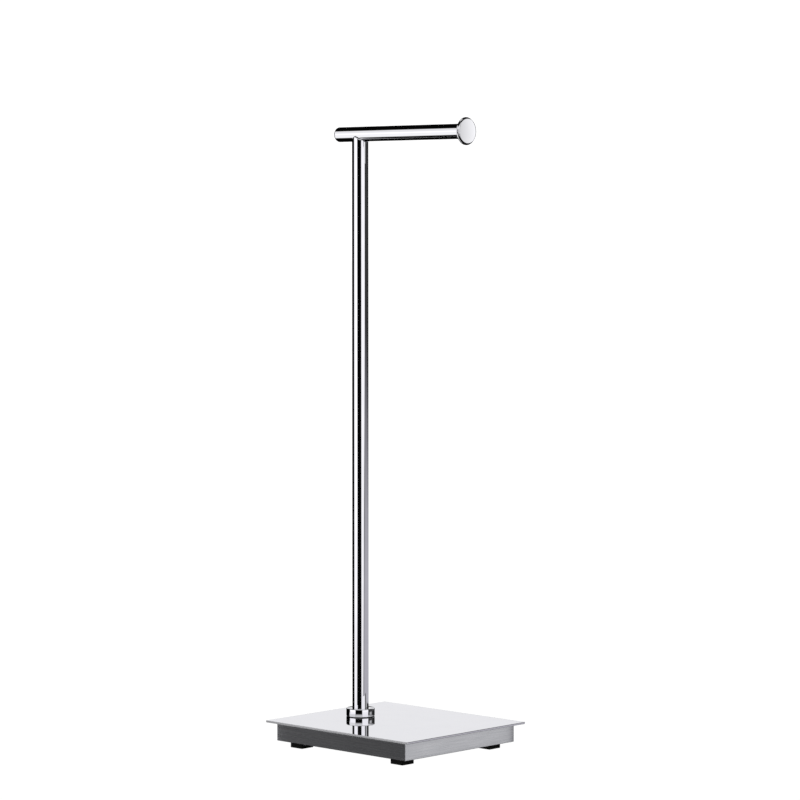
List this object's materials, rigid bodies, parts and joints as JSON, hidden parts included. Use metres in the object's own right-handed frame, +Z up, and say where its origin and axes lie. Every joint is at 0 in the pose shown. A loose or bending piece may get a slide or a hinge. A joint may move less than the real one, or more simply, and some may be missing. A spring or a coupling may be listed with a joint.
{
  "type": "free-standing toilet roll holder",
  "caption": "Free-standing polished holder: a weighted rectangular base, an off-centre round post and a horizontal arm with a flared end stop that a toilet roll slides onto.",
  "frame": {"origin": "on the floor under the centre of the base plate, which is the centre of the bottom of the bounding box", "axes": "+Z up the post, +X along the arm towards its open end and end stop, +Y across the base to the back"},
  "size_m": [0.19, 0.168, 0.6118],
  "materials": {
    "polished_chrome": "polished",
    "mirror_plate": "polished",
    "brushed_stainless": "satin",
    "ballast_steel": "matte",
    "zinc_steel": "satin",
    "black_rubber": "matte",
    "black_nylon": "matte"
  },
  "bodies": {
    "base": {"top_plate": "mirror_plate", "base_tray": "brushed_stainless", "ballast_plate": "ballast_steel", "bottom_cover": "brushed_stainless", "foot_front_left": "black_rubber", "foot_screw_front_left": "zinc_steel", "foot_washer_front_left": "zinc_steel", "foot_spacer_front_left": "zinc_steel", "plate_stud_front_left": "zinc_steel", "stud_nut_front_left": "zinc_steel", "foot_front_right": "black_rubber", "foot_screw_front_right": "zinc_steel", "foot_washer_front_right": "zinc_steel", "foot_spacer_front_right": "zinc_steel", "plate_stud_front_right": "zinc_steel", "stud_nut_front_right": "zinc_steel", "foot_back_left": "black_rubber", "foot_screw_back_left": "zinc_steel", "foot_washer_back_left": "zinc_steel", "foot_spacer_back_left": "zinc_steel", "plate_stud_back_left": "zinc_steel", "stud_nut_back_left": "zinc_steel", "foot_back_right": "black_rubber", "foot_screw_back_right": "zinc_steel", "foot_washer_back_right": "zinc_steel", "foot_spacer_back_right": "zinc_steel", "plate_stud_back_right": "zinc_steel", "stud_nut_back_right": "zinc_steel", "seat_gasket": "black_nylon", "bolt_washer": "zinc_steel", "spring_washer": "zinc_steel"},
    "post": {"post_bolt": "zinc_steel", "post_plug": "zinc_steel", "base_collar": "polished_chrome", "post_tube": "polished_chrome", "arm_spigot": "zinc_steel", "arm_tube": "polished_chrome", "arm_back_cap": "polished_chrome", "arm_end_stop": "polished_chrome"}
  },
  "joints": [
    {"name": "post_swivel", "type": "hinge", "parent": "base", "child": "post", "pos_m": [-0.0475, 0, 0.026], "axis": [0, 0, 1], "continuous": true}
  ]
}
